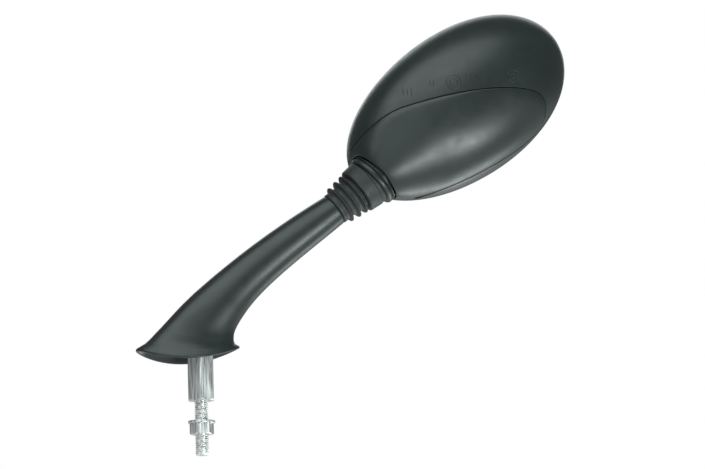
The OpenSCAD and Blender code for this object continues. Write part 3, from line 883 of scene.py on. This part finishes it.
def hex_spacer():
    """Zinc-plated hex bar with a chamfered shoulder."""
    low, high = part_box("hex_spacer")
    bottom, top = low.z / MM, high.z / MM
    half = HEX_AF / 2
    shoulder = 3.0        # above this the bar is a full hexagon
    levels = [(bottom, STUD_R), (bottom, half - 0.1)]
    levels += [(bottom + 0.12 * k, half + 0.2 + 0.19 * k) for k in range(9)]
    levels += [(bottom + shoulder + (top - bottom - shoulder) * k / 8, HEX_AF) for k in range(9)]
    levels += [(top, 5.2)]
    piece = loft("hex_bar", hex_rings(HEX_AF, levels, HEX_TURN), caps=True)
    crisp(piece, 28)
    finish_piece(piece, ZINC, "arm", ["hex_spacer"])


def thread_radius(z, angle, crest, root):
    """Radius of a right-hand metric thread with flats at its crest and root."""
    root_flat, flank = 0.1, 0.72
    phase = (z / THREAD_PITCH - angle / (2 * math.pi)) % 1.0
    wave = 1 - abs(2 * phase - 1)
    return root + (crest - root) * min(1.0, max(0.0, (wave - root_flat) / flank))


def mounting_stud():
    """M8 stud with a real thread up to the hex bar."""
    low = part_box("mounting_stud")[0].z / MM
    count, step = 72, 0.1
    chamfer, lead_in = 0.8, 1.4
    rings = []
    rows = int((STUD_TOP - low) / step)
    for k in range(rows + 1):
        z = low + step * k
        root = STUD_R - THREAD_DEPTH * smooth((z - low) / lead_in)
        limit = STUD_R - chamfer * (1 - min(1.0, (z - low) / chamfer))
        angles = (2 * math.pi * i / count for i in range(count))
        rings.append([upright(z, min(thread_radius(z, a, STUD_R, root), limit), a) for a in angles])
    piece = loft("threaded_stud", rings, caps=True)
    crisp(piece, 50)
    finish_piece(piece, ZINC_THREAD, "arm", ["mounting_stud"])


def washer():
    """Plain washer with rolled edges."""
    low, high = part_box("washer")
    z0, z1, r = low.z / MM, high.z / MM, (high.x - low.x) / 2 / MM
    piece = lathe("plain_washer", rounded([(z0, 4.1), (z0, r), (z1, r), (z1, 4.1)], 0.3, 4), upright, 96)
    crisp(piece, 50)
    finish_piece(piece, ZINC, "washer", ["washer"])


def lock_nut():
    """M8 nut with turned chamfers on both faces and a countersunk thread."""
    low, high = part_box("lock_nut")
    z0, z1 = low.z / MM, high.z / MM
    flats = (high.y - low.y) / MM
    half = flats / 2
    chamfer = [(0.07 + 0.1 * k, half + 0.1 + 0.18 * k) for k in range(7)]
    levels = [(z0, NUT_SINK_R), (z0, half - 0.05)]
    levels += [(z0 + up, r) for up, r in chamfer]
    levels += [(z0 + (z1 - z0) * k / 6, flats) for k in range(2, 5)]
    levels += [(z1 - up, r) for up, r in chamfer[::-1]]
    levels += [(z1, half - 0.05), (z1, NUT_SINK_R), (z1 - NUT_SINK, NUT_BORE), (z0 + NUT_SINK, NUT_BORE)]
    piece = loft("hex_nut", hex_rings(flats, levels), closed_rows=True)
    crisp(piece, 28)
    finish_piece(piece, ZINC, "nut", ["lock_nut"])


# ---- the pieces -----------------------------------------------------------------------------------
lower_panel()
back_shell()
moulded_marks()
mirror_glass()
glass_bezel()
glass_pad()
arm_shell()
boot()
neck_ring()
hex_spacer()
mounting_stud()
washer()
lock_nut()

# ---- the CAD nodes that stay as they are ----------------------------------------------------------
KEPT = [(INNER_PLASTIC, ("foot_plate", "socket_base", "chassis")),
        (STEEL, ("arm_core", "ball_stud", "clamp_plate", "clamp_springs")),
        (ZINC, ("foot_screws", "jam_nut", "clamp_washers", "clamp_screws", "chassis_screws",
                "frame_screws")),
        (NYLON, ("ball_liner",))]
for kept_material, kept_names in KEPT:
    for kept_name in kept_names:
        kept_mesh = frame["nodes"][kept_name].data
        kept_mesh.materials.clear()
        kept_mesh.materials.append(kept_material)

# ---- floor, light and camera, in metres and degrees -----------------------------------------------
MIDDLE = (cad_box[0] + cad_box[1]) / 2
FLOOR_Z = -1.3            # far below, so that the camera sees its upper side
FLOOR_SIZE = 16
FLOOR_GLOW = 0.4
WORLD_LIGHT = 0.17
CAMERA_AZIMUTH = -11.0
CAMERA_ELEVATION = -8.0
CAMERA_ROLL = math.radians(1.4)
CAMERA_DISTANCE = 6.0
SENSOR_WIDTH = 36         # millimetres
VIEW_WIDTH = 0.418        # width of the view at the object
AIM = Vector((0.0933, 0.0, 0.0993))


def studio_floor():
    """Plain pale floor that glows a little, so that it stays near white."""
    bpy.ops.mesh.primitive_plane_add(size=FLOOR_SIZE, location=(MIDDLE.x, MIDDLE.y, FLOOR_Z))
    floor = bpy.context.object
    floor.name = "studio_floor"
    made = Finish("pale_floor", Roughness=0.85, Specular_IOR_Level=0.2, Emission_Color=(1, 1, 1, 1),
                  Emission_Strength=FLOOR_GLOW)
    made.colour(made.noise(1.5, detail=2), [(0.3, (0.86, 0.86, 0.86)), (0.7, (0.89, 0.89, 0.89))])
    floor.data.materials.append(made.material)


def studio_world():
    """White to the camera, and a softer grey as light."""
    world = bpy.data.worlds.new("studio")
    bpy.context.scene.world = world
    world.use_nodes = True
    tree = world.node_tree
    tree.nodes.clear()
    out = tree.nodes.new("ShaderNodeOutputWorld")
    seen, felt, mix = (tree.nodes.new(k) for k in
                       ("ShaderNodeBackground", "ShaderNodeBackground", "ShaderNodeMixShader"))
    path = tree.nodes.new("ShaderNodeLightPath")
    seen.inputs["Color"].default_value = (1, 1, 1, 1)
    felt.inputs["Color"].default_value = (0.93, 1.0, 1.0, 1)
    felt.inputs["Strength"].default_value = WORLD_LIGHT
    tree.links.new(path.outputs["Is Camera Ray"], mix.inputs["Fac"])
    tree.links.new(felt.outputs["Background"], mix.inputs[1])
    tree.links.new(seen.outputs["Background"], mix.inputs[2])
    tree.links.new(mix.outputs["Shader"], out.inputs["Surface"])


def softbox(name, towards, distance, size, power, turn=0, colour=(0.9, 1.0, 0.99)):
    """Rectangular softbox that faces the object from a direction, turned in its own plane."""
    light = bpy.data.lights.new(name, "AREA")
    light.shape = "RECTANGLE"
    light.size, light.size_y = size
    light.energy = power
    light.color = colour
    made = bpy.data.objects.new(name, light)
    bpy.context.scene.collection.objects.link(made)
    back = Vector(towards).normalized()
    made.location = MIDDLE + back * distance
    made.rotation_mode = "QUATERNION"
    spin = Quaternion((0, 0, 1), math.radians(turn))
    made.rotation_quaternion = (-back).to_track_quat("-Z", "Y") @ spin


def from_camera(azimuth, elevation):
    """Direction from the object, by azimuth round it and elevation above it."""
    a, e = math.radians(azimuth), math.radians(elevation)
    return Vector((math.sin(a) * math.cos(e), -math.cos(a) * math.cos(e), math.sin(e)))


def camera():
    """Long lens, so far away that the view is nearly parallel."""
    data = bpy.data.cameras.new("camera")
    made = bpy.data.objects.new("camera", data)
    bpy.context.scene.collection.objects.link(made)
    data.sensor_width = SENSOR_WIDTH
    data.lens = data.sensor_width * CAMERA_DISTANCE / VIEW_WIDTH
    back = from_camera(CAMERA_AZIMUTH, CAMERA_ELEVATION)
    made.location = AIM + back * CAMERA_DISTANCE
    turn = (-back).to_track_quat("-Z", "Y").to_matrix().to_4x4()
    made.rotation_mode = "QUATERNION"
    made.rotation_quaternion = (turn @ Matrix.Rotation(-CAMERA_ROLL, 4, "Z")).to_quaternion()
    bpy.context.scene.camera = made


studio_floor()
studio_world()
softbox("key_top_left", from_camera(-28, 50), 1.3, (1.7, 1.0), 13)
softbox("strip_low_right", from_camera(27, -24), 1.2, (0.62, 0.2), 8.5, turn=-14)
softbox("fill_front", from_camera(-20, 8), 1.6, (1.1, 0.9), 2.8)
softbox("edge_below", from_camera(125, -45), 1.2, (0.9, 0.5), 6)
softbox("rear_rim", from_camera(165, 30), 1.4, (1.2, 1.0), 6)
camera()
bpy.context.scene.view_settings.view_transform = "Standard"
